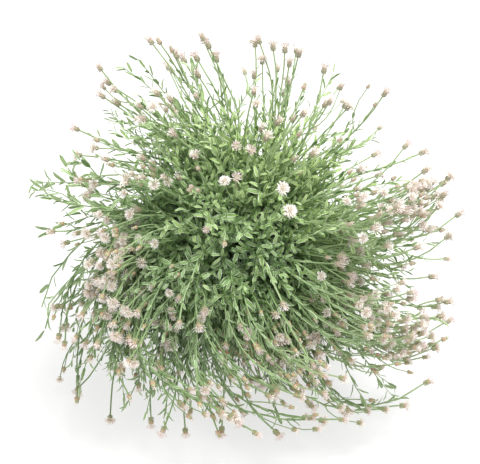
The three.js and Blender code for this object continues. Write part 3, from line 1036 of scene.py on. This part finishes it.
husk = new_finish("bract_skin", 0.6)
_, bract_run, _, tint = tone_of(husk)
closed_share = ranged(husk, tint, 0.75, 1.1)
bract_green = mixed(husk, mottle(husk, 400, 2), "#8f9f70", "#afb98c")
bract_tan = mixed(husk, mottle(husk, 260, 2), "#d6a28c", "#e8c3b0")
bract_body = mixed(husk, ranged(husk, tint, 0.25, 0.95), bract_green, bract_tan)
bract_tip = mixed(husk, ranged(husk, tint, 0.2, 0.8), "#a3957a", "#cf9480")
bract_colour = layered(
    husk,
    mixed(husk, closed_share, bract_body, "#d39878"),
    (ranged(husk, bract_run, 0.45, 0.95), mixed(husk, closed_share, bract_tip, "#b87459")),
    # Painted highlight: bracts on the sunny side are painted paler and greyer.
    (ranged(husk, sunward(husk), 0.06, 0.18, 0.36), "#d3c6bf"),
)
coat(husk, bract_colour, mottle(husk, 2500, 2), 0.2, 0.0001)


def cups(name, members):
    """One piece with the cups of some heads."""
    turns = np.array([head_frame(head) for head in members])
    places = np.array([head["place"] for head in members])
    size = np.array([head["size"] for head in members])[:, None] * [cup_radius, cup_radius, cup_height]
    cores = (core, places, turns, size, np.full(len(members), core_tint))
    piece = copies(name, [cores, *shared_out([cup_of(head) for head in members], [bract])], husk)
    smooth(piece, 50)
    return piece


for branch in range(len(flowering_axes)):
    for name, node, leads in (("cups", "flowering_stems", False), ("leading_cup", "flower_head", True)):
        members = [head for head in on_branch(heads, branch) if head["leads"] == leads]
        piece = cups(f"{name}_{branch + 1:02d}", members)
        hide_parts(f"{node}_{branch + 1:02d}")
        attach(piece, "root")


# Florets. Slim pale pink trumpets packed in each cup. They are a tight tuft in a closed head, a brush in an
# opening one, a flat-topped pompon in an open one and a cream globe in the oldest. Two trumpets are modelled
# and copied, the finer one for globes, and each starts inside its cup.

# Rings of each trumpet: how far along its length, and how wide as a share of its width
floret_rings = [(0.55, 0.45), (0.9, 1.0)]
fine_floret_rings = [(0.75, 0.9)]
globe_paleness = 0.6

# Each kind's florets: their number, widest angle, length and width, and how far up the cup they start
floret_blooms = {
    "bud": (6, 0.38, 0.0027, 0.00062, 0.90),
    "opening": (23, 0.80, 0.0050, 0.00052, 0.85),
    "open": (32, 1.08, 0.0052, 0.00052, 0.85),
    "globe": (80, 1.85, 0.0050, 0.00048, 0.90),
}
floret = flat_blade("floret_pattern", 3, floret_rings, 0.35)
fine_floret = flat_blade("fine_floret_pattern", 3, fine_floret_rings, 0.5)
for shape in (floret, fine_floret):
    shape["tones"] = np.outer(shape["corners"][:, 1], [0, 1, 0])


def bloom_of(head):
    """The spots of a head's florets, evenly fanned from its axis to the bloom's widest angle."""
    number, widest, length, width, foot = floret_blooms[head["kind"]]
    order, widths = np.arange(number), np.full(number, width)
    fan = widest * np.sqrt((order + 0.5) / number) * rng.uniform(0.88, 1.1, number)
    bearing = order * golden_angle + head["tint"] * 9 + rng.normal(0, 0.12, number)
    sizes = np.stack([widths, length * rng.uniform(0.8, 1.15, number), widths], 1)
    paleness = globe_paleness if head["kind"] == "globe" else 0
    tints = np.clip(head["tint"] + rng.normal(0, 0.12, number) + paleness, 0, 1)
    radius = cup_radius * 0.6 * np.minimum(fan / widest, 1)
    return set_round(head, bearing, fan, radius, np.full(number, cup_height * foot), sizes, tints)


petal = new_finish("floret_petal", 0.65)
_, petal_run, _, tint = tone_of(petal)
petal_tip = mixed(petal, tint, "#e4cdca", "#fbf7f1")
coat(petal, mixed(petal, ranged(petal, petal_run, 0.35, 0.85), "#ebe0d6", petal_tip))


def florets(name, members):
    """One piece with the florets of some heads."""
    batches = []
    for shape, fine in ((floret, False), (fine_floret, True)):
        spots = [bloom_of(head) for head in members if (head["kind"] == "globe") == fine]
        if spots:
            batches += shared_out(spots, [shape])
    piece = copies(name, batches, petal)
    smooth(piece, 60)
    return piece


for branch in range(len(flowering_axes)):
    for name, node, leads in (("florets", "flowering_stems", False),
                              ("leading_florets", "flower_head", True)):
        members = [head for head in on_branch(heads, branch) if head["leads"] == leads]
        piece = florets(f"{name}_{branch + 1:02d}", members)
        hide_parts(f"{node}_{branch + 1:02d}")
        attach(piece, "root")


# Studio. A plain pale floor that glows faintly, so that the ground is as white as the photograph's, and an
# even white surround. The main light is soft, from above on the right and a little behind, and a weaker one
# is on the left. The camera looks down at the plant as the viewer does.

floor_size = 16
floor_grey = 0.4
floor_glow = 0.62
surround_strength = 0.73
lit_height = 0.12

bpy.ops.mesh.primitive_plane_add(size=floor_size, location=(0, 0, 0))
ground = bpy.context.active_object
ground.name = "studio_floor"
paper = new_finish("studio_paper", 0.9)
paper_inputs = paper.node_tree.nodes["Principled BSDF"].inputs
paper_inputs["Base Color"].default_value = (floor_grey, floor_grey, floor_grey, 1)
paper_inputs["Emission Color"].default_value = (1, 1, 1, 1)
paper_inputs["Emission Strength"].default_value = floor_glow
ground.data.materials.append(paper)
ground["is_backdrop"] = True

surround = bpy.data.worlds.new("surround")
surround.use_nodes = True
background = surround.node_tree.nodes["Background"].inputs
background["Color"].default_value = (1, 1, 1, 1)
background["Strength"].default_value = surround_strength
bpy.context.scene.world = surround
bpy.context.scene.view_settings.view_transform = "Standard"


def soft_light(name, place, size, power):
    """A square area light aimed at the plant."""
    lamp = bpy.data.lights.new(name, "AREA")
    lamp.size = size
    lamp.energy = power
    holder = placed(name, lamp)
    holder.location = place
    aim = Vector((0, 0, lit_height)) - Vector(place)
    holder.rotation_euler = aim.to_track_quat("-Z", "Y").to_euler()


soft_light("upper_right_light", (0.5, 0.1, 1.85), 0.8, 36)
soft_light("left_light", (-1.3, -0.8, 1.1), 1.2, 6)

lens = 100
aim_point = Vector((-0.005, 0.0148, 0.1196))
toward = Vector((0, -math.cos(viewer_lift), math.sin(viewer_lift)))
camera = placed("camera", bpy.data.cameras.new("camera"))
camera.data.lens = lens
camera.location = aim_point + toward * viewer_distance
camera.rotation_euler = (-toward).to_track_quat("-Z", "Y").to_euler()
bpy.context.scene.camera = camera

low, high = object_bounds()
